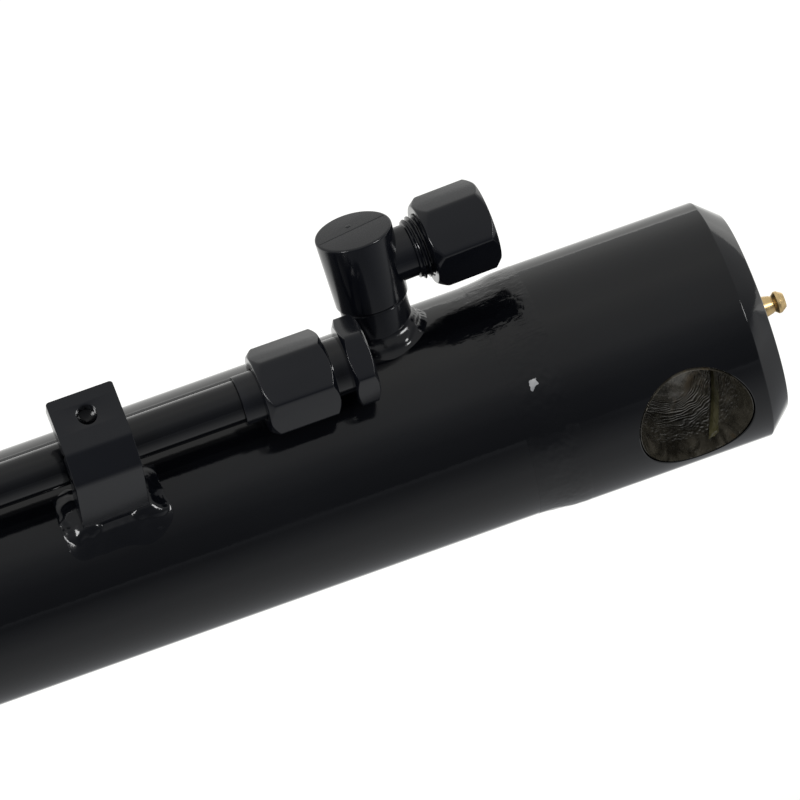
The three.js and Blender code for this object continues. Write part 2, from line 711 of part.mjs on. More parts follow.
function addRodEye(parent) {
  const spotFace = 0.6;
  const nippleFace = eye.x + eye.r - spotFace;
  const hub = latheOf([
    [-eye.halfWidth, 0],
    [-eye.halfWidth, eye.r - 1.2],
    [-eye.halfWidth + 1.2, eye.r],
    [eye.halfWidth - 1.2, eye.r],
    [eye.halfWidth, eye.r - 1.2],
    [eye.halfWidth, 0],
  ], BIG_ROUND);
  const shank = turnedX([
    [eye.shankStart, 0],
    [eye.shankStart, eye.shankR - 3.5],
    [eye.shankStart + 3.5, eye.shankR],
    [eye.x, eye.shankR],
    [eye.x, 0],
  ], MID_ROUND);
  const pinHole = latheOf(bar(-40, 40, pinBush.outer), MID_ROUND).translate(eye.x, 0, 0);
  const socket = turnedX(bar(eye.shankStart - 1, eye.socketEnd, rod.r + GAP), MID_ROUND);
  const spot = turnedX(bar(nippleFace, nippleFace + 5, 6.5), SMALL_ROUND);
  const body = solidOf(hub.translate(eye.x, 0, 0))
    .add(shank)
    .subtract(solidOf(pinHole))
    .subtract(socket)
    .subtract(spot)
    .subtract(nippleHole(nippleFace, -1, 16));
  addPiece(parent, 'rod_eye', body, 'blackPaint');

  const weld = turnedX([
    [eye.shankStart - GAP, rod.r + GAP],
    [eye.shankStart - GAP, eye.shankR - 3.6],
    [eye.shankStart - 2.5, eye.shankR - 3.9],
    [eye.shankStart - 6, rod.r + GAP + 0.4],
    [eye.shankStart - 6, rod.r + GAP],
  ], MID_ROUND);
  addPiece(parent, 'rod_eye_weld', weld, 'blackPaint');
  const bush = bushWithOilHole(1, eye.halfWidth - 0.5);
  addPiece(frameIn(parent, [eye.x, 0, 0]), 'rod_bush', bush, 'greasySteel');
  addGreaseNipple(frameIn(parent, [nippleFace, 0, 0]), 'rod');
}

// ---------------------------------------------------------------- assembly

const cylinder = new THREE.Group();
addBaseEnd(cylinder);
addTube(cylinder);
addCapPort(cylinder);
addPipe(cylinder);
addRodPort(cylinder);
bracketStarts.forEach((start, i) => addBracket(cylinder, i + 1, start));
addGland(cylinder);
addPiston(cylinder);
addRod(cylinder);
addRodEye(cylinder);

export default cylinder;
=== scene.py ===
"""Looks of the welded hydraulic cylinder: fine meshes, materials, studio and camera.

Shapes are worked out in millimetres in the part's own frame and scaled to metres when a piece is
finished. X runs from the base pin to the rod eye, Y along the base pin, Z up.
"""

import json
import math
from math import cos, pi, radians, sin, sqrt

import bmesh
import bpy
from mathutils import Matrix, Vector, noise


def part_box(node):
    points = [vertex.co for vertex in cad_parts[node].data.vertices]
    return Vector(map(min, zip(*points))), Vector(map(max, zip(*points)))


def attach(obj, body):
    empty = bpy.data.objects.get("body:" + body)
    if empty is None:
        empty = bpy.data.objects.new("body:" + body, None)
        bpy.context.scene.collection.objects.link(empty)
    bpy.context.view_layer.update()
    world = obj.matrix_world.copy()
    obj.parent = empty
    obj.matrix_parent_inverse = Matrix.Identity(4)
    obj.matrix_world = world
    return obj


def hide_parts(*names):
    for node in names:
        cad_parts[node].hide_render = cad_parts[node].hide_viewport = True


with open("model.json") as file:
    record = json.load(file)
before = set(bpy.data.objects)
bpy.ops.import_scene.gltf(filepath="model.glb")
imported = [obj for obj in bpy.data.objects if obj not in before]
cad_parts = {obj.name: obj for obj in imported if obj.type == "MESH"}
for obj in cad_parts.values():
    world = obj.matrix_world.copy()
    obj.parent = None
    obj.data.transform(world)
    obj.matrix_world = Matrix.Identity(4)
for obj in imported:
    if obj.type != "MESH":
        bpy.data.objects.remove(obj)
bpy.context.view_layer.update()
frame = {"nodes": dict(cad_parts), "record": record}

MM = 0.001
RECORD = frame["record"]
BODY_OF = {node: body for body, nodes in RECORD["behaviour"]["bodies"].items() for node in nodes}
SLOT_OF = {row["node"]: row["material_slot"] for row in RECORD["subparts"]}


# ------------------------------------------------------------------ measures from the frame

def box_mm(node):
    low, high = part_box(node)
    return low / MM, high / MM


def middle(node):
    low, high = box_mm(node)
    return (low + high) / 2


def half_size(node):
    low, high = box_mm(node)
    return (high - low) / 2


TUBE_START, TUBE_END = (v.x for v in box_mm("barrel_tube"))
TUBE_OVERSIZE = 0.4  # the tube is drawn this much larger in radius than in the CAD
TUBE_R = half_size("barrel_tube").y + TUBE_OVERSIZE
TUBE_BORE_R = 27.5
BLOCK_START = box_mm("base_block")[0].x
BLOCK_R = half_size("base_block").y
BUSH_WALL = 1.4
BORE_R = half_size("base_bush").x - BUSH_WALL
PIN_HOLE_R = BORE_R + 1.7  # leaves 0.3 mm round the bush
ROD_BUSH_HALF = half_size("rod_bush").y
EYE_X = middle("rod_bush").x
PIPE_START, PIPE_END = (v.x for v in box_mm("pipe"))
PIPE_AXIS = middle("pipe")
PIPE_R = 6
PIPE_HEIGHT = PIPE_AXIS.yz.length
PIPE_TILT = math.atan2(-PIPE_AXIS.y, PIPE_AXIS.z)
CAP_PORT_X = middle("cap_port_weld").x
CAP_PORT_HEIGHT = 53
CAP_PORT_TILT = radians(17)
CAP_PORT_TURN = radians(3)
ROD_PORT_X = middle("rod_port_weld").x
ROD_R = half_size("piston_rod").y
ROD_END = box_mm("piston_rod")[1].x
GLAND_END = box_mm("gland")[1].x
THREAD_R = 9
THREAD_PITCH = 1.5
NUT_ACROSS = 22
CAP_NUT_ACROSS = 23
NUT_BORE_R = 9.05

ROUND = 192
FINE_ROUND = 96
SMALL_ROUND = 48


# ------------------------------------------------------------------ mesh helpers

def loft(rings, loop=False):
    """Quads between rings of equal length. A loop joins the last ring to the first."""
    count = len(rings)
    width = len(rings[0])
    points = [p for ring in rings for p in ring]
    faces = []
    for i in range(count if loop else count - 1):
        here = i * width
        there = ((i + 1) % count) * width
        for j in range(width):
            k = (j + 1) % width
            faces.append((here + j, here + k, there + k, there + j))
    if not loop:
        faces.append(tuple(range(width - 1, -1, -1)))
        faces.append(tuple(range((count - 1) * width, count * width)))
    return points, faces


def rounded(points, radius, steps=3, closed=False):
    """A profile with its corners turned into small arcs. Every corner gives the same count of points.
    The radius is one number, or one for each point."""
    result = []
    last = len(points) - 1
    radii = radius if isinstance(radius, list) else [radius] * len(points)
    for i, point in enumerate(points):
        corner = Vector(point)
        if not closed and i in (0, last):
            result.append(corner)
            continue
        before = Vector(points[i - 1]) - corner
        after = Vector(points[(i + 1) % len(points)]) - corner
        if before.length < 1e-6 or after.length < 1e-6:
            result.extend([corner] * (steps + 1))
            continue
        half = before.angle(after) / 2
        reach = min(radii[i] / max(math.tan(half), 1e-3), 0.45 * before.length, 0.45 * after.length)
        start = corner + before.normalized() * reach
        end = corner + after.normalized() * reach
        for k in range(steps + 1):
            t = k / steps
            result.append(start * (1 - t) ** 2 + corner * (2 * t * (1 - t)) + end * t ** 2)
    return result


def turned(profile, sides=ROUND, warp=None):
    """Turns [x, r] points about X. Profiles start and end on the axis, or close on themselves."""
    on_axis = profile[0][1] == 0
    outline = profile[1:-1] if on_axis else profile
    rings = []
    for x, r in outline:
        ring = []
        for j in range(sides):
            angle = 2 * pi * j / sides
            at_x, at_r = warp(x, r, angle) if warp else (x, r)
            ring.append((at_x, at_r * cos(angle), at_r * sin(angle)))
        rings.append(ring)
    return loft(rings, loop=not on_axis)


def bar(start, end, radius, edge=0.0):
    corners = [(start, 0), (start, radius), (end, radius), (end, 0)]
    return rounded(corners, edge) if edge else corners


def ring_profile(start, end, inner, outer, edge=0.25):
    corners = [(start, inner), (start, outer), (end, outer), (end, inner)]
    return rounded(corners, edge, closed=True)


def placed(shape, matrix):
    points, faces = shape
    return [matrix @ Vector(p) for p in points], faces


def about_x(angle):
    return Matrix.Rotation(angle, 4, "X")


def about_z(angle):
    return Matrix.Rotation(angle, 4, "Z")


def move(x, y=0.0, z=0.0):
    return Matrix.Translation((x, y, z))


X_TO_Y = Matrix.Rotation(pi / 2, 4, "Z")
X_TO_Z = Matrix.Rotation(-pi / 2, 4, "Y")
X_BACK = Matrix.Rotation(pi, 4, "Z")


def solid(name, shape, matrix=Matrix.Identity(4)):
    """A mesh object in millimetres, facing out."""
    points, faces = placed(shape, matrix)
    mesh = bpy.data.meshes.new(name)
    mesh.from_pydata(points, [], faces)
    work = bmesh.new()
    work.from_mesh(mesh)
    bmesh.ops.remove_doubles(work, verts=work.verts, dist=1e-4)
    bmesh.ops.recalc_face_normals(work, faces=work.faces)
    work.to_mesh(mesh)
    work.free()
    obj = bpy.data.objects.new(name, mesh)
    bpy.context.scene.collection.objects.link(obj)
    return obj


def combine(obj, other, operation):
    """Joins or cuts one solid with another, and removes the other."""
    modifier = obj.modifiers.new("combine", "BOOLEAN")
    modifier.operation = operation
    modifier.solver = "EXACT"
    modifier.object = other
    graph = bpy.context.evaluated_depsgraph_get()
    result = bpy.data.meshes.new_from_object(obj.evaluated_get(graph))
    obj.modifiers.clear()
    obj.data = result
    bpy.data.objects.remove(other)
    return obj


def cut(obj, shape, matrix=Matrix.Identity(4)):
    return combine(obj, solid("cutter", shape, matrix), "DIFFERENCE")


def weld_on(obj, shape, matrix=Matrix.Identity(4)):
    return combine(obj, solid("joined", shape, matrix), "UNION")


def finish_piece(obj, node, material, sharp=32, second=None):
    """Scales a piece to metres and lets it stand for its CAD node."""
    places = [face.material_index for face in obj.data.polygons]
    obj.data.transform(Matrix.Scale(MM, 4))
    obj.data.shade_smooth()
    obj.data.set_sharp_from_angle(angle=radians(sharp))
    obj.data.materials.clear()
    obj.data.materials.append(material)
    if second:
        obj.data.materials.append(second)
        obj.data.polygons.foreach_set("material_index", places)
    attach(obj, BODY_OF[node])
    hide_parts(node)
    return obj


# ------------------------------------------------------------------ materials

class Nodes:
    """A small builder for one material's node tree."""

    def __init__(self, name):
        self.material = bpy.data.materials.new(name)
        self.material.use_nodes = True
        self.tree = self.material.node_tree
        self.shader = self.tree.nodes["Principled BSDF"]
        self.place = self.tree.nodes.new("ShaderNodeTexCoord").outputs["Object"]

    def node(self, kind, inputs=(), **settings):
        made = self.tree.nodes.new(kind)
        for key, value in settings.items():
            setattr(made, key, value)
        for key, value in dict(inputs).items():
            self.feed(made.inputs[key], value)
        return made

    def feed(self, socket, value):
        if isinstance(value, bpy.types.NodeSocket):
            self.tree.links.new(value, socket)
        else:
            socket.default_value = value

    def set(self, **values):
        for key, value in values.items():
            self.feed(self.shader.inputs[key.replace("_", " ")], value)

    def noise(self, scale, detail=3.0, stretch=(1, 1, 1), distortion=0.0):
        spread = self.node("ShaderNodeMapping", {"Vector": self.place, "Scale": stretch})
        made = self.node(
            "ShaderNodeTexNoise",
            {"Vector": spread.outputs[0], "Scale": scale, "Detail": detail, "Distortion": distortion},
        )
        return made.outputs["Fac"]

    def range(self, value, low, high, to_low, to_high):
        made = self.node(
            "ShaderNodeMapRange",
            {"Value": value, "From Min": low, "From Max": high, "To Min": to_low, "To Max": to_high},
        )
        return made.outputs["Result"]

    def colours(self, value, stops):
        made = self.node("ShaderNodeValToRGB", {"Fac": value})
        ramp = made.color_ramp
        ramp.elements[0].position, ramp.elements[0].color = stops[0][0], (*stops[0][1], 1)
        ramp.elements[1].position, ramp.elements[1].color = stops[-1][0], (*stops[-1][1], 1)
        for position, colour in stops[1:-1]:
            ramp.elements.new(position).color = (*colour, 1)
        return made.outputs["Color"]

    def bump(self, height, distance, strength=1.0, below=None):
        made = self.node("ShaderNodeBump", {"Height": height, "Distance": distance, "Strength": strength})
        if below is not None:
            self.feed(made.inputs["Normal"], below)
        return made.outputs["Normal"]

    def add(self, first, second, operation="ADD"):
        made = self.node("ShaderNodeMath", {0: first, 1: second}, operation=operation)
        return made.outputs[0]


# Where the paint is chipped off the seam, halfway up its front
PAINT_CHIP = Vector((TUBE_START + 4.2, TUBE_R * cos(radians(47)), TUBE_R * sin(radians(47))))


def black_paint(name, peel, gloss=(0.05, 0.13), lumps=0.0, tone=1.0, scuffed=False):
    """Gloss black enamel with orange peel and cloudy gloss. Scuffed paint has one chip down to bare
    steel, and a dressed patch with fine scratches on the upper side of the seam."""
    n = Nodes(name)
    cloud = n.noise(28, 4)
    grain = n.noise(520, 2)
    rough = n.range(cloud, 0.35, 0.68, *gloss)
    dark = tuple(c * tone for c in (0.0018, 0.0021, 0.0032))
    light = tuple(c * tone for c in (0.0032, 0.0036, 0.0050))
    skin = n.bump(grain, 0.0004, peel)
    waves = n.bump(n.noise(90, 2), 0.0016, peel * 0.6, skin)
    if lumps:
        waves = n.bump(n.noise(330, 5), 0.0012, lumps, waves)
    base = n.colours(cloud, [(0.3, dark), (0.75, light)])
    if scuffed:
        reach = n.node("ShaderNodeVectorMath", {0: n.place, 1: PAINT_CHIP * MM}, operation="DISTANCE")
        ragged = n.add(reach.outputs["Value"], n.range(n.noise(420, 2), 0.3, 0.7, -0.0009, 0.0009))
        chip = n.range(ragged, 0.0013, 0.0015, 1.0, 0.0)
        bare = (0.9, 0.9, 0.9, 1)
        base = n.node("ShaderNodeMix", {0: chip, 6: base, 7: bare}, data_type="RGBA").outputs[2]
        n.set(Metallic=chip)
        spot = n.node("ShaderNodeSeparateXYZ", {"Vector": n.place})
        near = n.range(spot.outputs["X"], TUBE_START * MM + 0.003, TUBE_START * MM + 0.024, 1.0, 0.0)
        upper = n.range(spot.outputs["Z"], TUBE_R * MM * 0.80, TUBE_R * MM * 0.97, 0.0, 1.0)
        patchy = n.range(n.noise(130, 3), 0.42, 0.58, 0.2, 1.0)
        mask = n.add(n.add(near, upper, "MULTIPLY"), patchy, "MULTIPLY")
        scratches = n.noise(900, 3, (0.25, 1, 1), 0.5)
        waves = n.bump(n.add(scratches, mask, "MULTIPLY"), 0.0005, 0.5, waves)
        rough = n.add(rough, n.add(mask, 0.12, "MULTIPLY"))
    n.set(
        Base_Color=base,
        Roughness=rough,
        IOR=1.5,
        Normal=waves,
    )
    return n.material


def metal(name, colour, rough, streak=(1, 1, 1), streak_scale=300, relief=0.05, spread=0.25):
    """Machined or plated metal: streaks along the tool's path and cloudy tone."""
    n = Nodes(name)
    lines = n.noise(streak_scale, 4, streak)
    cloud = n.noise(60, 3)
    darker = tuple(c * (1 - spread) for c in colour)
    n.set(
        Base_Color=n.colours(n.add(lines, n.add(cloud, 0.4, "MULTIPLY")), [(0.45, darker), (0.95, colour)]),
        Metallic=1.0,
        Roughness=n.range(n.add(lines, cloud), 0.7, 1.35, rough * 0.7, rough * 1.4),
        Normal=n.bump(lines, 0.00006, relief),
    )
    return n.material


def plastic(name, colour, rough):
    n = Nodes(name)
    cloud = n.noise(180, 4)
    darker = tuple(c * 0.7 for c in colour)
    n.set(
        Base_Color=n.colours(cloud, [(0.35, darker), (0.7, colour)]),
        Roughness=n.range(cloud, 0.3, 0.7, rough * 0.85, rough * 1.15),
        Normal=n.bump(n.noise(1400, 3), 0.00008, 0.3),
    )
    return n.material


def greased_steel():
    """Bored steel under a smeared film of olive-brown grease."""
    n = Nodes("greased_steel")
    smear = n.noise(110, 6, (1.6, 0.7, 1.0), 1.6)
    patch = n.noise(60, 3, distortion=0.6)
    streak = n.noise(700, 5, (1, 0.35, 1), 0.8)
    tone = n.add(n.add(smear, 0.5, "MULTIPLY"), n.add(patch, 0.5, "MULTIPLY"))
    n.set(
        Base_Color=n.colours(tone, [
            (0.36, (0.018, 0.016, 0.012)),
            (0.48, (0.070, 0.063, 0.048)),
            (0.58, (0.120, 0.108, 0.084)),
            (0.70, (0.130, 0.092, 0.048)),
        ]),
        Metallic=n.range(patch, 0.4, 0.6, 0.1, 0.5),
        Roughness=n.range(smear, 0.3, 0.7, 0.16, 0.34),
        Coat_Weight=1.0,
        Coat_Roughness=0.1,
        Normal=n.bump(streak, 0.0005, 0.5, n.bump(smear, 0.0010, 0.35)),
    )
    return n.material


def grease_bead():
    """Thick yellow-green grease that fills a groove."""
    n = Nodes("grease_bead")
    smear = n.noise(240, 5, (2, 0.6, 1), 1.0)
    n.set(
        Base_Color=n.colours(smear, [(0.35, (0.085, 0.078, 0.034)), (0.7, (0.190, 0.175, 0.085))]),
        Roughness=n.range(smear, 0.3, 0.7, 0.2, 0.4),
        Coat_Weight=0.6,
        Coat_Roughness=0.1,
        Normal=n.bump(smear, 0.0008, 0.4),
    )
    return n.material


PAINT = black_paint("black_paint", peel=0.035)
TUBE_PAINT = black_paint("black_paint_tube", peel=0.035, scuffed=True)
FITTING_PAINT = black_paint("black_paint_fittings", peel=0.02, gloss=(0.13, 0.22), tone=2.2)
WELD_PAINT = black_paint("black_paint_welds", peel=0.06, gloss=(0.08, 0.18), lumps=0.05, tone=1.5)
SEAM_PAINT = black_paint("black_paint_seam", peel=0.08, gloss=(0.06, 0.16), scuffed=True)
GREASE_BEAD = grease_bead()
MATERIALS = {
    "black_paint": PAINT,
    "rod_chrome": metal("rod_chrome", (0.78, 0.79, 0.80), 0.07, (60, 1, 1), 12, 0.02, 0.05),
    "bare_steel": metal("bare_steel", (0.46, 0.46, 0.45), 0.28, (8, 1, 1), 90, 0.15),
    "greasy_steel": greased_steel(),
    "brass": metal("brass", (1.0, 0.73, 0.36), 0.3, (6, 1, 1), 160, 0.2, 0.2),
    "cast_iron": metal("cast_iron", (0.19, 0.19, 0.19), 0.45, (5, 1, 1), 140, 0.3),
    "seal_rubber": plastic("seal_rubber", (0.022, 0.022, 0.023), 0.55),
    "seal_plastic": plastic("seal_plastic", (0.06, 0.15, 0.32), 0.35),
    "bearing_plastic": plastic("bearing_plastic", (0.33, 0.20, 0.09), 0.5),
}


# ------------------------------------------------------------------ shapes shared by pieces

def hex_radius(angle, across, flat_angle, softness=46):
    """Radius of a hexagon with slightly rounded corners."""
    total = 0.0
    for k in range(6):
        total += max(0.0, cos(angle - flat_angle - k * pi / 3)) ** softness
    return across / 2 * total ** (-1 / softness)


def hex_angles(flat_angle, steps=24):
    """Angles round a hexagon, closer together near its corners."""
    angles = []
    for k in range(6):
        corner = flat_angle - pi / 6 + k * pi / 3
        for i in range(steps):
            angles.append(corner + pi / 3 * (1 - cos(pi * i / steps)) / 2)
    return angles


def hex_body(start, end, across, flat_angle, hole=None, cuts=((0.4, 0.58), (0.4, 0.58)), soft=(0.3, 0.3)):
    """A hexagonal nut with a conical chamfer at each end. A cut is how much less the end face's
    radius is than the flats' distance, and the cone's length for each millimetre of radius.
    hole is a list of [x, r] points from the end face back to the start face."""
    (start_less, start_slope), (end_less, end_slope) = cuts
    first = across / 2 - start_less
    second = across / 2 - end_less
    columns = []
    angles = hex_angles(flat_angle)
    for angle in angles:
        r = hex_radius(angle, across, flat_angle)
        outline = [
            (start, first),
            (start + (r - first) * start_slope, r),
            (end - (r - second) * end_slope, r),
            (end, second),
        ]
        radii = [soft[0] * 0.6, soft[0], soft[1], soft[1] * 0.6]
        if hole:
            columns.append(rounded(outline + hole, radii + [0.15] * len(hole), closed=True))
        else:
            columns.append(rounded([(start, 1.0)] + outline + [(end, 1.0)], [0.1] + radii + [0.1]))
    rings = []
    for i in range(len(columns[0])):
        ring = []
        for angle, column in zip(angles, columns):
            x, r = column[i]
            ring.append((x, r * cos(angle), r * sin(angle)))
        rings.append(ring)
    return loft(rings, loop=bool(hole))


def thread_rings(start, end, major, depth, pitch, sides, runout=1.0):
    """Rings of an outside thread along X, fading in and out over a pitch."""
    rings = []
    count = round((end - start) / pitch * 10)
    for i in range(count + 1):
        x = start + (end - start) * i / count
        fade = min(1.0, (x - start) / (pitch * runout) + 0.05, (end - x) / (pitch * runout) + 0.05)
        ring = []
        for j in range(sides):
            angle = 2 * pi * j / sides
            phase = (x / pitch - angle / (2 * pi)) % 1.0
            tooth = min(1.0, max(0.0, 1.35 * (1 - abs(2 * phase - 1) * 1.6 + 0.1)))
            r = major - depth + depth * tooth * fade
            ring.append((x, r * cos(angle), r * sin(angle)))
        rings.append(ring)
    return rings


def circle(x, r, sides):
    return [(x, r * cos(2 * pi * j / sides), r * sin(2 * pi * j / sides)) for j in range(sides)]


def lump(x, y, z, scale):
    """Smooth noise from -1 to 1, with features about 1/scale long."""
    return noise.noise(Vector((x * scale, y * scale, z * scale)))


# ------------------------------------------------------------------ base end

# The tool that breaks the pin hole's rim: how far outside the hole, and above the block
RIM_CUTTER = ((0.4, 0.15), (-0.5, 0.15), (-0.5, -0.75))


def make_base_block():
    profile = rounded([
        (BLOCK_START, 0),
        (BLOCK_START, BLOCK_R - 5.8),
        (BLOCK_START + 6.5, BLOCK_R),
        (32.6, BLOCK_R),
        (35.7, 29.5),
        (35.7, 27.2),
        (46, 27.2),
        (46, 0),
    ], 0.7)
    block = solid("base_block_body", turned(profile, 288))
    cut(block, turned(bar(-45, 45, PIN_HOLE_R), 144), X_TO_Y)
    for side in (1, -1):
        rings = []
        steps = 144
        for i in range(steps):
            angle = 2 * pi * i / steps
            section = []
            for beyond, lift in RIM_CUTTER:
                r = PIN_HOLE_R + beyond
                y = sqrt(BLOCK_R ** 2 - (r * sin(angle)) ** 2) + lift
                section.append((r * cos(angle), side * y, r * sin(angle)))
            rings.append(section)
        cut(block, loft(rings, loop=True))
    cut(block, turned(bar(BLOCK_START - 2, BLOCK_START + 6, 3.2), SMALL_ROUND))
    cut(block, turned(bar(BLOCK_START - 2, -14, 1.25), 24))
    finish_piece(block, "base_block", PAINT)


def make_base_weld():
    """The seam between block and tube, dressed nearly flush all round."""
    start, end, inner = 31.9, 47.0, 29.8
    steps, sides = 36, 540
    rings = []
    for i in range(steps + 1):
        t = i / steps
        x = start + (end - start) * t
        flank = BLOCK_R + (TUBE_R - BLOCK_R) * (3 * t ** 2 - 2 * t ** 3)
        fade = sin(pi * t) ** 0.6
        ring = []
        for j in range(sides):
            angle = 2 * pi * j / sides
            y, z = cos(angle), sin(angle)
            swell = 0.16 * lump(x * 0.10, y * 2.2, z * 2.2, 1.0) + 0.1 * lump(x * 0.25, y * 6, z * 6, 1.0)
            pits = 0.05 * lump(x * 0.8, y * 20, z * 20, 1.0)
            r = flank + 0.03 + (0.1 + swell + pits) * fade
            ring.append((x, r * y, r * z))
        rings.append(ring)
    rings.append(circle(end - 1.5, inner + 1, sides))
    rings.append(circle(start + 3, inner, sides))
    weld = solid("base_weld_bead", loft(rings, loop=True))
    finish_piece(weld, "base_weld", SEAM_PAINT, 60)


def grease_film(x, y, z, seed):
    """Height of the grease on a bush's wall: fine combed ridges round a smooth patch."""
    arc = math.atan2(x, -z) * BORE_R
    across, deep = arc - 1 - seed, y + 1
    bend = 2.2 * lump(across, deep, seed, 0.11) + 0.7 * lump(across, deep, seed, 0.45)
    reach = sqrt(across ** 2 + deep ** 2) + bend
    ridges = 0.5 + 0.5 * sin(2 * pi * reach / 0.9 + 3.0 * lump(arc, y, seed, 0.35))
    combed = max(0.0, min(1.0, (reach - 7.5) / 3)) * max(0.0, min(1.0, (21.5 - reach) / 3))
    patchy = 0.5 + 0.5 * lump(arc, y, seed + 5, 0.5)
    grains = lump(arc, y, seed + 9, 1.4)
    rough = max(0.0, min(1.0, (reach - 18) / 4))
    return 0.17 * ridges ** 1.5 * combed * patchy + 0.16 * lump(arc, y, seed, 0.2) + 0.13 * grains * rough


def bush_shape(half_at, seed, groove_at, groove_turn, groove_end):
    """A bush whose bore is smeared with grease and has a slanting grease groove that ends blind.
    half_at gives the half length of the bush at an angle round it and a radius."""
    below, above = 300, 60  # the lower half is seen through the bore, so it is drawn finer
    groove_half, groove_side, groove_depth = 1.8, 0.9, 0.45
    flare_depth, flare_length = 1.15, 7
    angles = [pi + pi * i / below for i in range(below)] + [pi * i / above for i in range(above)]
    outer_r = BORE_R + BUSH_WALL
    long_side, short_side = 200, 50
    marks = [-1 + i / short_side for i in range(short_side)] + [i / long_side for i in range(long_side + 1)]
    rings = []
    for mark in marks:
        ring = []
        for angle in angles:
            half = half_at(angle, BORE_R)
            y = mark * half
            film = grease_film(BORE_R * cos(angle), y, BORE_R * sin(angle), seed)
            away = (angle - groove_at - y * groove_turn + pi) % (2 * pi) - pi
            blind = max(0.0, min(1.0, (groove_end - abs(y)) / 1.5))
            groove = max(0.0, min(1.0, (groove_half - abs(away) * BORE_R) / groove_side)) * blind
            lip = math.exp(-((abs(away) * BORE_R - 2.0) / 0.35) ** 2) * blind
            fade = min(1.0, (half - abs(y)) / 0.8)
            flare = max(0.0, 1 - (half - abs(y)) / flare_length)
            skin = 0.1 - film * (1 - groove) - 0.12 * lip + groove * groove_depth
            r = BORE_R + flare_depth * flare + skin * fade
            ring.append((r * cos(angle), y, r * sin(angle)))
        rings.append(ring)
    edge = 0.1
    outside = (
        (outer_r - edge, 0, 1),
        (outer_r, edge, 1),
        (outer_r, edge, -1),
        (outer_r - edge, 0, -1),
    )
    for r, back, side in outside:
        rings.append([(r * cos(a), side * (half_at(a, r) - back), r * sin(a)) for a in angles])
    return loft(rings, loop=True)


def make_bushes():
    """The bushes' bores, with the grooves filled with thick grease. The base bush's ends follow the
    block's round outside, and the rod bush's are level."""

    def saddle(angle, r):
        return sqrt((BLOCK_R - 0.55) ** 2 - (r * sin(angle)) ** 2)

    def level(angle, r):
        return ROD_BUSH_HALF

    for node, half_at, seed, groove, place in (
        ("base_bush", saddle, 0.0, (radians(-158), 0.0332, 26), move(0)),
        ("rod_bush", level, 3.0, (radians(100), 0.02, 20), move(EYE_X)),
    ):
        bush = solid(f"{node}_greased", bush_shape(half_at, seed, *groove), place)
        centre = place.translation.x
        for face in bush.data.polygons:
            x, y, z = face.center
            r = math.hypot(x - centre, z)
            away = (math.atan2(z, x - centre) - groove[0] - y * groove[1] + pi) % (2 * pi) - pi
            in_groove = abs(away) * BORE_R < 1.6 and abs(y) < groove[2]
            face.material_index = int(in_groove and r < BORE_R + BUSH_WALL - 0.2)
        finish_piece(bush, node, MATERIALS["greasy_steel"], 60, GREASE_BEAD)


def make_nipple(prefix, place):
    """Straight grease nipple with its ball and spring. Its own +X points out of the hole."""
    brass = MATERIALS["brass"]
    profile = rounded([
        (-5.7, 0.9),
        (-5.7, 2.9),
        (0.3, 2.9),
        (0.3, 3.1),
        (3.0, 3.2),
        (3.2, 3.05),
        (5.6, 2.5),
        (5.95, 2.25),
        (6.2, 2.35),
        (7.1, 3.15),
        (7.9, 3.1),
        (9.5, 2.05),
        (9.5, 0.8),
        (7.6, 0.8),
        (6.8, 1.45),
        (2.0, 1.45),
        (1.6, 0.9),
    ], 0.12, closed=True)
    body = solid(f"{prefix}_nipple_shell", turned(profile, FINE_ROUND), place)
    collar = hex_body(0.3, 3.05, 8, 0, [(3.05, 2.6), (0.3, 2.6)], soft=(0.1, 0.1))
    weld_on(body, collar, place)
    finish_piece(body, f"{prefix}_nipple_body", brass)

    ball = solid(f"{prefix}_nipple_check_ball", turned([
        (6.35 - 1.12 * cos(pi * i / 24), 1.12 * sin(pi * i / 24)) if 0 < i < 24
        else (6.35 - 1.12 * cos(pi * i / 24), 0)
        for i in range(25)
    ], SMALL_ROUND), place)
    finish_piece(ball, f"{prefix}_nipple_ball", MATERIALS["bare_steel"])

    rings = []
    turns, steps = 4, 32
    for i in range(turns * steps + 1):
        angle = 2 * pi * i / steps
        x = 2.4 + 2.0 * i / (turns * steps)
        ring = []
        for j in range(10):
            section = 2 * pi * j / 10
            r = 1.05 + 0.14 * cos(section)
            ring.append((x + 0.14 * sin(section), r * cos(angle), r * sin(angle)))
        rings.append(ring)
    spring = solid(f"{prefix}_nipple_coil", loft(rings), place)
    finish_piece(spring, f"{prefix}_nipple_spring", MATERIALS["bare_steel"])


# ------------------------------------------------------------------ barrel and ports

LOCK_SCREW = move(503) @ about_x(radians(110)) @ X_TO_Z


def make_tube():
    profile = rounded([
        (TUBE_START, TUBE_BORE_R),
        (TUBE_START, 29),
        (TUBE_START + 3.7, TUBE_R),
        (TUBE_END, TUBE_R),
        (TUBE_END, TUBE_BORE_R),
    ], 0.4, closed=True)
    tube = solid("barrel_tube_body", turned(profile, 288))
    hole = turned(bar(20, 40, 5), SMALL_ROUND)
    cut(tube, hole, move(CAP_PORT_X) @ about_x(CAP_PORT_TILT) @ X_TO_Z)
    cut(tube, hole, move(ROD_PORT_X) @ about_x(PIPE_TILT) @ X_TO_Z)
    cut(tube, turned(bar(24, 40, 3), 32), LOCK_SCREW)
    finish_piece(tube, "barrel_tube", TUBE_PAINT)


def make_lock_screw():
    screw = solid("gland_lock_screw_body", turned(bar(24.3, TUBE_R - 0.4, 2.6, 0.3), 32), LOCK_SCREW)
    socket = hex_body(TUBE_R - 3, TUBE_R + 1, 2.6, 0, cuts=((0, 0), (0, 0)), soft=(0.05, 0.05))
    cut(screw, socket, LOCK_SCREW)
    finish_piece(screw, "gland_lock_screw", MATERIALS["bare_steel"])


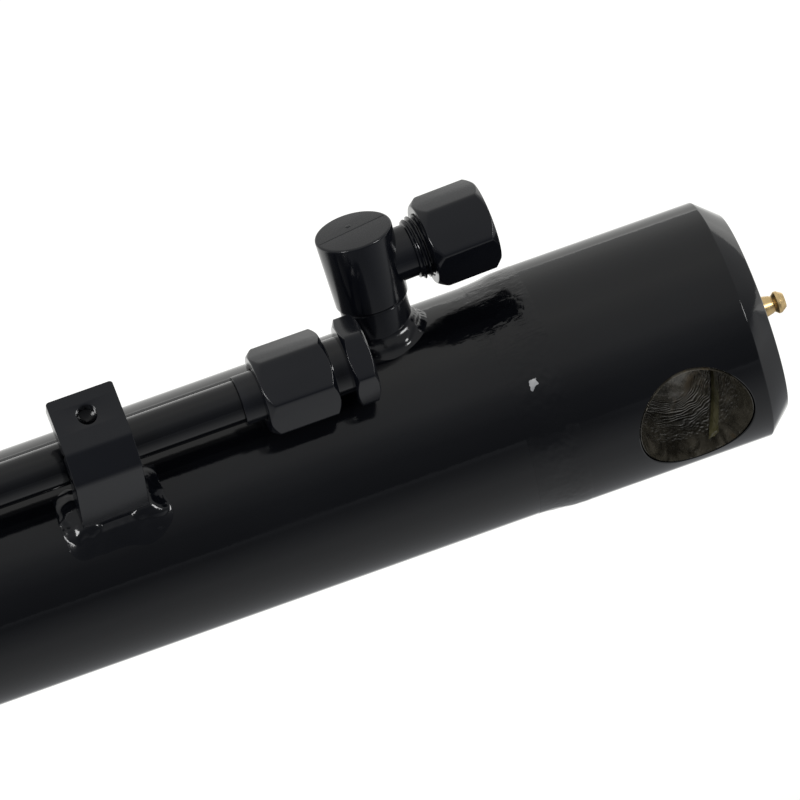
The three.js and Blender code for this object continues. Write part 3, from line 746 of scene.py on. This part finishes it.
def make_port_post(node, x, tilt, height, turn, bump_on_top):
    """Weld-on elbow: an upright with a closed top, and a threaded arm towards the base."""
    frame_at = move(x) @ about_x(tilt)
    arm_at = frame_at @ move(0, 0, height) @ about_z(turn) @ X_BACK
    below, top = height - 9.6, height + 11.8
    passage_r = 4.5
    profile = rounded([
        (30, 0),
        (30, 9.5),
        (below - 0.9, 9.5),
        (below - 0.35, 9.25),
        (below + 0.15, 10.2),
        (top, 10.9),
        (top, 0),
    ], 0.7, steps=4)
    post = solid(f"{node}_body", turned(profile, ROUND), frame_at @ X_TO_Z)
    sides = 120
    rings = [circle(0, 7.4, sides), circle(13.4, 7.4, sides), circle(13.7, 7.45, sides)]
    rings += thread_rings(14.0, 28.0, THREAD_R, 0.85, THREAD_PITCH, sides)
    rings += [circle(28.2, 7.9, sides), circle(28.6, 7.5, sides)]
    weld_on(post, loft(rings), arm_at)
    bore = [
        (12, 0),
        (12, passage_r),
        (22.6, passage_r),
        (22.6, 6.3),
        (26.6, 6.3),
        (30, 8.2),
        (30, 0),
    ]
    cut(post, turned(bore, SMALL_ROUND), arm_at)
    cut(post, turned(bar(25, height, passage_r), SMALL_ROUND), frame_at @ X_TO_Z)
    if bump_on_top:
        seam = [
            [(sx, -0.35, top - 0.1), (sx, -0.1, top + 0.1), (sx, 0.1, top + 0.1), (sx, 0.35, top - 0.1)]
            for sx in (-10.1, 10.1)
        ]
        weld_on(post, loft(seam), frame_at @ about_z(radians(12)) @ move(0, -0.8, 0))
        nub = turned(rounded([(top - 1, 0), (top - 1, 1.1), (top + 0.18, 0.75), (top + 0.18, 0)], 0.3), 32)
        weld_on(post, nub, frame_at @ move(0.5, -3.4, 0) @ X_TO_Z)
    finish_piece(post, f"{node}_post", FITTING_PAINT)


def make_post_weld(node, x, tilt, leg, seed):
    """A fillet that follows the saddle between post and barrel, rippled along the bead, with finer
    ripples behind."""
    frame_at = move(x) @ about_x(tilt)
    steps, around = 18, 420
    neck_r, inner_r = 9.45, 8.9
    rings = []
    for i in range(around):
        angle = 2 * pi * i / around
        toe = 13.0 + 1.1 * lump(cos(angle), sin(angle), seed, 1.3)
        rise = leg + 0.8 * lump(cos(angle), sin(angle), seed + 5, 1.6)
        section = []
        for k in range(steps + 1):
            u = k / steps
            reach = neck_r + (toe - neck_r) * (1 - cos(pi * u / 2)) ** 0.9
            lift = rise * (1 - sin(pi * u / 2)) ** 0.95
            bulge = 0.55 * sin(pi * u)
            ridges = sin(2 * pi * (1.7 * u + 0.35 * angle) + 2.4 * lump(cos(angle), sin(angle), seed, 1.7))
            behind = max(0.0, cos(angle - radians(215)))
            fan = sin(46 * angle + 3 * u) * behind ** 3
            broad = lump(3 * cos(angle), 3 * sin(angle), u * 2 + seed, 1)
            relief = (0.17 * ridges + 0.07 * fan + 0.3 * broad) * sin(pi * u)
            reach += bulge + relief
            sx, sy = reach * cos(angle), reach * sin(angle)
            surface = sqrt(TUBE_R ** 2 - sy ** 2)
            section.append((sx, sy, surface - 0.12 + lift + 0.5 * (bulge + relief)))
        for reach, sink in ((12.2, 1.2), (9.0, 1.2)):
            sx, sy = reach * cos(angle), reach * sin(angle)
            section.append((sx, sy, sqrt(TUBE_R ** 2 - sy ** 2) - sink))
        sx, sy = inner_r * cos(angle), inner_r * sin(angle)
        section.append((sx, sy, sqrt(TUBE_R ** 2 - sy ** 2) + rise))
        rings.append(section)
    weld = solid(f"{node}_bead", loft(rings, loop=True), frame_at)
    finish_piece(weld, node, WELD_PAINT, 60)


def make_cap_port():
    make_port_post("cap_port", CAP_PORT_X, CAP_PORT_TILT, CAP_PORT_HEIGHT, CAP_PORT_TURN, True)
    make_post_weld("cap_port_weld", CAP_PORT_X, CAP_PORT_TILT, 4.6, 2.0)
    upright = move(CAP_PORT_X) @ about_x(CAP_PORT_TILT)
    place = upright @ move(0, 0, CAP_PORT_HEIGHT) @ about_z(CAP_PORT_TURN)
    flat = radians(34.3)
    far, near = -36.4, -17.8
    hole = [(near, NUT_BORE_R), (far + 5, NUT_BORE_R), (far + 2, 6.3), (far, 6.3)]
    cuts = ((0.2, 1.1), (0.2, 1.4))
    shape = hex_body(far, near, CAP_NUT_ACROSS, flat, hole, cuts, (0.35, 1.3))
    finish_piece(solid("cap_port_union_nut", shape, place), "cap_port_nut", FITTING_PAINT)
    profile = rounded([
        (-28.9, 6.15),
        (-28.9, 8.75),
        (-29.9, 8.75),
        (-31.5, 7.2),
        (-31.5, 6.15),
    ], 0.15, closed=True)
    ring = solid("cap_port_cutting_ring", turned(profile, FINE_ROUND), place)
    finish_piece(ring, "cap_port_ring", MATERIALS["bare_steel"])


# ------------------------------------------------------------------ pipe

def along_pipe(x=0.0):
    return move(x, PIPE_AXIS.y, PIPE_AXIS.z) @ about_x(PIPE_TILT)


def make_pipe():
    shape = turned(ring_profile(PIPE_START, PIPE_END, 4.5, PIPE_R, 0.3), FINE_ROUND)
    finish_piece(solid("pipe_body", shape, along_pipe()), "pipe", PAINT)


def make_pipe_plug():
    """The plug in the pipe's free end: a thin hexagon and a threaded socket for the pipe."""
    place = along_pipe()
    flat = radians(1.5)
    plug = solid("pipe_plug_body", hex_body(81.5, 88.2, NUT_ACROSS, flat, soft=(0.22, 0.22)), place)
    sides = 120
    rings = [circle(86, 8.0, sides), circle(92.2, 8.0, sides)]
    rings += thread_rings(92.4, 103.6, 8.75, 0.8, THREAD_PITCH, sides)
    rings += [circle(104, 7.6, sides)]
    weld_on(plug, loft(rings), place)
    socket = [(92, 0), (92, 3.5), (98, 3.5), (98, 6.3), (105, 6.3), (105, 0)]
    cut(plug, turned(socket, SMALL_ROUND), place)
    finish_piece(plug, "pipe_end_plug", FITTING_PAINT)


def make_pipe_nuts():
    """Union nuts at both ends of the pipe. The x of the rod end's nut counts from its post."""
    hole = [(113.3, 7.4), (109.6, 7.4), (107.4, NUT_BORE_R), (93.0, NUT_BORE_R)]
    cuts = ((0.2, 0.8), (0.2, 1.2))
    shape = hex_body(93.0, 113.3, NUT_ACROSS, radians(6.9), hole, cuts, (0.35, 1.3))
    nut = solid("pipe_union_nut_base_end", shape, along_pipe())
    finish_piece(nut, "pipe_nut_base_end", FITTING_PAINT)

    hole = [(-16.8, NUT_BORE_R), (-30.2, NUT_BORE_R), (-33.2, 7.4), (-35.2, 7.4)]
    cuts = ((0.2, 1.2), (0.2, 0.8))
    shape = hex_body(-35.2, -16.8, NUT_ACROSS, 0.4, hole, cuts, (1.3, 0.35))
    nut = solid("pipe_union_nut_rod_end", shape, along_pipe(ROD_PORT_X))
    finish_piece(nut, "pipe_nut_rod_end", FITTING_PAINT)


def make_pipe_collar(name, node, seat, end, place):
    """Collar on the pipe, coned at its seat."""
    way = 1 if end > seat else -1
    profile = rounded([
        (seat, 6.12),
        (seat, 8.7),
        (seat + way, 8.7),
        (seat + way * 2.9, 7),
        (end, 7),
        (end, 6.12),
    ], 0.2, closed=True)
    finish_piece(solid(name, turned(profile, FINE_ROUND), place), node, FITTING_PAINT)


def make_rod_port():
    make_port_post("rod_port", ROD_PORT_X, PIPE_TILT, PIPE_HEIGHT, 0.0, False)
    make_post_weld("rod_port_weld", ROD_PORT_X, PIPE_TILT, 2.4, 8.0)


# ------------------------------------------------------------------ brackets

BRACKET_HALF = half_size("clamp_bracket_1").x
BRACKET_THICK = 6.5
BRACKET_LINE = [(26.5, -0.9), (52.0, 15.9), (54.5, 25.2), (50.38, 40.6)]


def bracket_path():
    """Points, inward normals and lengths along the bracket's outer face, with its bends rounded."""
    line = rounded([Vector(p) for p in BRACKET_LINE], 3.0, steps=6)
    dense = []
    for a, b in zip(line, line[1:]):
        pieces = max(1, round((b - a).length / 1.5))
        dense += [a + (b - a) * i / pieces for i in range(pieces)]
    dense.append(line[-1])
    path = []
    run = 0.0
    for i, p in enumerate(dense):
        ahead = dense[min(i + 1, len(dense) - 1)] - dense[max(i - 1, 0)]
        ahead.normalize()
        if i:
            run += (p - dense[i - 1]).length
        path.append((p, Vector((-ahead.y, ahead.x)), run))
    return path


def bracket_shape():
    """A bent flat bar with a rounded far end. Its own Y points out and its Z up."""
    path = bracket_path()
    length = path[-1][2]
    corner, edge = 0.8, 0.3
    rings = []
    ends = [(p, n, run) for p, n, run in path if run < length - corner]
    tail, tail_normal, _ = path[-1]
    along = (path[-1][0] - path[-2][0]).normalized()
    for k in range(9):
        run = length - corner + corner * sin(pi / 2 * k / 8)
        ends.append((tail + along * (run - length), tail_normal, run))
    for p, n, run in ends:
        into = max(0.0, run - (length - corner)) / corner
        half = BRACKET_HALF - corner * (1 - sqrt(max(0.0, 1 - into ** 2)))
        section = rounded([(-half, 0), (half, 0), (half, BRACKET_THICK), (-half, BRACKET_THICK)],
                          edge, closed=True)
        rings.append([(x, p.x + n.x * d, p.y + n.y * d) for x, d in section])
    return loft(rings)


def make_bracket(number):
    """The bracket with its blind tapped hole, cut by the shape of a tap."""
    node = f"clamp_bracket_{number}"
    centre = middle(node).x
    place = move(centre) @ about_x(pi / 4)
    plate = solid(f"{node}_plate", bracket_shape(), place)
    tab_lean = math.atan2(4.2, 15.7)
    hole_at = place @ move(0, 52.15, 34) @ about_x(tab_lean) @ X_TO_Y
    sides = 72
    tap = [circle(-5.95, 0.6, sides), circle(-4.9, 2.7, sides)]
    tap += thread_rings(-4.8, -0.2, 3.45, 0.6, 1.2, sides, 0.3)
    tap += [circle(0.05, 3.35, sides), circle(2, 3.4, sides)]
    cut(plate, loft(tap), hole_at)
    finish_piece(plate, node, FITTING_PAINT)


FOOT_TOP = radians(28)  # how far round the barrel the strip under a bracket's foot reaches


def bracket_weld_height(x, angle, seed):
    """Height of the weld round a bracket's foot above the barrel, in millimetres."""
    arc = angle * TUBE_R
    broad = lump(x, arc, seed, 0.16)
    fine = lump(x, arc, seed + 9, 0.5)
    pebbles = lump(x, arc, seed + 3, 1.1)
    height = -0.6
    width = 5.4
    bead_low, bead_high = radians(8) * TUBE_R, radians(21) * TUBE_R
    for side, tall in ((-1, 3.2), (1, 3.0)):
        away = max(0.0, side * x - BRACKET_HALF, BRACKET_HALF - 3 - side * x)
        past = max(0.0, arc - bead_high, bead_low - arc)
        spread = sqrt(away ** 2 + past ** 2) / (width + 1.0 * broad + 0.6 * fine)
        if spread < 1:
            slope = 1 - spread ** 1.3
            rough = (0.22 * broad + 0.09 * fine + 0.05 * pebbles) * (1 - spread) ** 0.4
            height = max(height, tall * slope + rough - 0.1)
    below = max(0.0, radians(4) * TUBE_R - arc)
    over = max(0.0, abs(x) - BRACKET_HALF)
    spread = sqrt(below ** 2 + (1.2 * over) ** 2) / (7.0 + 1.2 * broad)
    if angle < FOOT_TOP and spread < 1:
        low = 1.9 * (1 - spread) ** 1.2 + (0.45 * broad + 0.08 * fine) * (1 - spread) - 0.1
        height = max(height, low)
    return height


def make_bracket_weld(number):
    node = f"bracket_weld_{number}"
    centre = middle(f"clamp_bracket_{number}").x
    place = move(centre) @ about_x(pi / 4)
    seed = 4.0 * number
    across, around = 100, 110
    low, high = radians(-15), radians(35)
    half = 18.0
    deep = TUBE_R - 1.4
    top, bottom = [], []
    for i in range(across + 1):
        x = -half + 2 * half * i / across
        upper, lower = [], []
        for j in range(around + 1):
            angle = low + (high - low) * j / around
            r = TUBE_R + bracket_weld_height(x, angle, seed)
            upper.append((x, r * cos(angle), r * sin(angle)))
            lower.append((x, deep * cos(angle), deep * sin(angle)))
        top.append(upper)
        bottom.append(lower)
    rings = [up + low_row[::-1] for up, low_row in zip(top, bottom)]
    weld = solid(f"{node}_bead", loft(rings), place)
    finish_piece(weld, node, WELD_PAINT, 60)


# ------------------------------------------------------------------ gland, rod and rod eye

def make_gland():
    bore = ROD_R + 0.35
    outside = [
        (457, bore), (457, 23), (478, 23), (478, 27.2),
        (484, 27.2), (484, 23.8), (490, 23.8), (490, 27.2),
        (TUBE_END + 0.3, 27.2), (TUBE_END + 0.3, 31.5), (GLAND_END, 31.5),
    ]
    wiper_seat = [(GLAND_END, 20.8), (517, 20.8), (517, bore)]
    rod_seal_groove = [(502.5, bore), (502.5, 21.5), (494, 21.5), (494, bore)]
    buffer_groove = [(490, bore), (490, 20.5), (484, 20.5), (484, bore)]
    guide_seat = [(480, bore), (480, 18), (460, 18), (460, bore)]
    profile = rounded(outside + wiper_seat + rod_seal_groove + buffer_groove + guide_seat, 0.4, closed=True)
    gland = solid("gland_body", turned(profile, ROUND))
    for i in range(6):
        angle = i * pi / 3
        hole = turned(bar(GLAND_END - 7, GLAND_END + 1, 2.5), 36)
        cut(gland, hole, move(0, 26 * cos(angle), 26 * sin(angle)))
    finish_piece(gland, "gland", PAINT)

    wiper = rounded([
        (517.3, bore + 1), (517.3, 20.5), (524.5, 20.5), (524.5, 18.5),
        (527, bore + 0.9), (527, bore), (525, bore), (522, bore + 1),
    ], 0.2, closed=True)
    finish_piece(solid("wiper_lip", turned(wiper, ROUND)), "wiper", MATERIALS["seal_rubber"])


def make_rod():
    """Chromed bar with a threaded tail for the piston nut and a spigot for the piston."""
    tail, spigot, shoulder = 50, 80, 116.3
    thread_r, spigot_r = 11.7, 12
    profile = rounded([
        (tail, 0), (tail, thread_r - 1.5), (tail + 1.5, thread_r), (spigot, thread_r), (spigot, spigot_r),
        (shoulder, spigot_r), (shoulder, ROD_R), (ROD_END, ROD_R), (ROD_END, 0),
    ], 0.3)
    finish_piece(solid("piston_rod_bar", turned(profile, ROUND)), "piston_rod", MATERIALS["rod_chrome"])


def make_rod_eye():
    r, half, bevel = 31, 25, 1.2
    hub = rounded([
        (-half, 0),
        (-half, r - bevel),
        (-half + bevel, r),
        (half - bevel, r),
        (half, r - bevel),
        (half, 0),
    ], 0.4)
    eye = solid("rod_eye_body", turned(hub, 240), move(EYE_X) @ X_TO_Y)
    shank = rounded([(538, 0), (538, 17.5), (541.5, 21), (EYE_X, 21), (EYE_X, 0)], 0.6)
    weld_on(eye, turned(shank, ROUND))
    cut(eye, turned(bar(-40, 40, PIN_HOLE_R), 144), move(EYE_X) @ X_TO_Y)
    for side in (-1, 1):
        cone = [(half - 0.8, 0), (half - 0.8, PIN_HOLE_R), (half + 0.2, PIN_HOLE_R + 1), (half + 0.2, 0)]
        cut(eye, turned([(side * x, radius) for x, radius in cone], 144), move(EYE_X) @ X_TO_Y)
    cut(eye, turned(bar(537, 545, 15.3), FINE_ROUND))
    face = EYE_X + r - 0.6
    cut(eye, turned(bar(face, face + 5, 6.5), FINE_ROUND))
    cut(eye, turned(bar(face - 6, face + 2, 3.2), SMALL_ROUND))
    cut(eye, turned(bar(face - 16, face + 2, 1.25), 24))
    finish_piece(eye, "rod_eye", PAINT)


def make_rod_eye_weld():
    start, length = 531.2, 6.6
    steps, sides = 14, 360
    rings = []
    for i in range(steps + 1):
        t = i / steps
        x = start + length * t
        ring = []
        for j in range(sides):
            angle = 2 * pi * j / sides
            y, z = cos(angle), sin(angle)
            base = ROD_R + 0.15 + 2.9 * t ** 0.8
            bulge = 0.55 * sin(pi * t)
            ripple = 0.13 * sin(20 * angle + 5 * (t - 0.5) ** 2)
            bead = (ripple + 0.22 * lump(x * 0.3, y * 6, z * 6, 1)) * sin(pi * t)
            ring.append((x, (base + bulge + bead) * y, (base + bulge + bead) * z))
        rings.append(ring)
    rings.append(circle(start + length, ROD_R + 0.15, sides))
    weld = solid("rod_eye_weld_bead", loft(rings, loop=True))
    finish_piece(weld, "rod_eye_weld", WELD_PAINT, 60)


# ------------------------------------------------------------------ the pieces

make_base_block()
make_base_weld()
make_bushes()
make_nipple("base", move(BLOCK_START) @ X_BACK)
make_tube()
make_lock_screw()
make_cap_port()
make_pipe()
make_pipe_plug()
make_pipe_nuts()
make_pipe_collar("pipe_collar_a", "pipe_collar_base_end", 104.3, 119, along_pipe())
make_rod_port()
make_pipe_collar("pipe_collar_b", "pipe_collar_rod_end", -28.9, -41, along_pipe(ROD_PORT_X))
for number in (1, 2):
    make_bracket(number)
    make_bracket_weld(number)
make_gland()
make_rod()
make_rod_eye()
make_rod_eye_weld()
make_nipple("rod", move(EYE_X + 30.4))

for node, obj in frame["nodes"].items():
    if not obj.hide_render:
        obj.data.materials.clear()
        obj.data.materials.append(MATERIALS[SLOT_OF[node]])


# ------------------------------------------------------------------ studio

FLOOR_Z = -0.6
VIEW_SIDE = 0.113  # how far the view leans towards the rod end
VIEW_ROLL = radians(19.5)
VIEW_DISTANCE = 6.0
VIEW_WIDTH = 0.2198
VIEW_UP = Vector((0, -0.70711, 0.70711))
TARGET = Vector((0.0726, 0, 0)) + VIEW_UP * 0.0093


def ramp(tree, value, stops):
    """A colour ramp through grey levels, each stop being a place from 0 to 1 and a level."""
    made = tree.nodes.new("ShaderNodeValToRGB")
    tree.links.new(value, made.inputs["Fac"])
    elements = made.color_ramp.elements
    while len(elements) < len(stops):
        elements.new(1.0)
    for element, (place, level) in zip(elements, stops):
        warm = min(1.0, level / 0.6)
        element.position = place
        element.color = (level * (0.95 + 0.05 * warm), level, level * (1.10 - 0.12 * warm), 1)
    return made.outputs["Color"]


def make_world():
    """A soft studio, brighter behind and above than low down in front."""
    world = bpy.data.worlds.new("studio")
    bpy.context.scene.world = world
    world.use_nodes = True
    tree = world.node_tree
    direction = tree.nodes.new("ShaderNodeTexCoord").outputs["Generated"]
    toward = tree.nodes.new("ShaderNodeVectorMath")
    toward.operation = "DOT_PRODUCT"
    tree.links.new(direction, toward.inputs[0])
    toward.inputs[1].default_value = (0, -0.7071, 0.7071)
    shift = tree.nodes.new("ShaderNodeMapRange")
    tree.links.new(toward.outputs["Value"], shift.inputs["Value"])
    shift.inputs["From Min"].default_value = -1
    stops = [(0.16, 0.11), (0.33, 0.15), (0.5, 0.27), (0.62, 0.42), (0.82, 0.50), (0.93, 0.60), (1, 0.56)]
    tree.links.new(ramp(tree, shift.outputs["Result"], stops), tree.nodes["Background"].inputs["Color"])


def make_floor():
    """A plain pale floor well below the cylinder, glowing white behind it and greyer in front."""
    bpy.ops.mesh.primitive_plane_add(size=200, location=(0, 0, FLOOR_Z))
    floor = bpy.context.object
    floor.name = "floor"
    n = Nodes("floor")
    split = n.node("ShaderNodeSeparateXYZ", {"Vector": n.place})
    slope = n.add(split.outputs["Y"], -FLOOR_Z, "DIVIDE")
    angle = n.node("ShaderNodeMath", {0: slope}, operation="ARCTANGENT").outputs[0]
    turn = n.range(angle, -pi / 2, pi / 2, 0, 1)
    stops = [(0.03, 0.72), (0.14, 0.76), (0.205, 1.10), (0.305, 1.10), (0.37, 0.34), (0.47, 0.34),
             (0.58, 0.39), (0.69, 0.42), (0.81, 0.38), (0.92, 0.20), (0.97, 0.12)]
    beyond = n.range(split.outputs["X"], -0.5, -2.5, 1.0, 1.7)
    n.set(Base_Color=(0.05, 0.05, 0.05, 1), Roughness=1.0, Emission_Strength=beyond)
    n.shader.inputs["Specular IOR Level"].default_value = 0
    n.tree.links.new(ramp(n.tree, turn, stops), n.shader.inputs["Emission Color"])
    floor.data.materials.append(n.material)


def make_light(name, place, size, brightness):
    """A square soft box that looks at the cylinder. The camera can't see it directly."""
    data = bpy.data.lights.new(name, "AREA")
    data.size = size
    data.energy = brightness * pi * size ** 2
    light = bpy.data.objects.new(name, data)
    light.location = place
    light.rotation_euler = (TARGET - Vector(place)).to_track_quat("-Z", "Y").to_euler()
    light.visible_camera = False
    bpy.context.scene.collection.objects.link(light)


def make_camera():
    """Far camera with a long lens, above and in front, with the barrel slanting across the frame."""
    forward = 0.7071 * sqrt(1 - VIEW_SIDE ** 2)
    toward = Vector((VIEW_SIDE, forward, forward))
    along = VIEW_UP.cross(toward)
    right = cos(VIEW_ROLL) * along - sin(VIEW_ROLL) * VIEW_UP
    up = sin(VIEW_ROLL) * along + cos(VIEW_ROLL) * VIEW_UP
    data = bpy.data.cameras.new("camera")
    data.sensor_width = 36
    data.lens = data.sensor_width * VIEW_DISTANCE / VIEW_WIDTH
    data.clip_end = 200
    camera = bpy.data.objects.new("camera", data)
    turn = Matrix((right, up, toward)).transposed().to_4x4()
    camera.matrix_world = Matrix.Translation(TARGET + toward * VIEW_DISTANCE) @ turn
    bpy.context.scene.collection.objects.link(camera)
    bpy.context.scene.camera = camera


make_world()
make_floor()
make_light("left_box", (2.6, 1.7, 1.9), 0.8, 14)
make_light("right_box", (-2.6, 1.7, 1.9), 0.9, 14)
make_camera()
bpy.context.scene.view_settings.view_transform = "Standard"
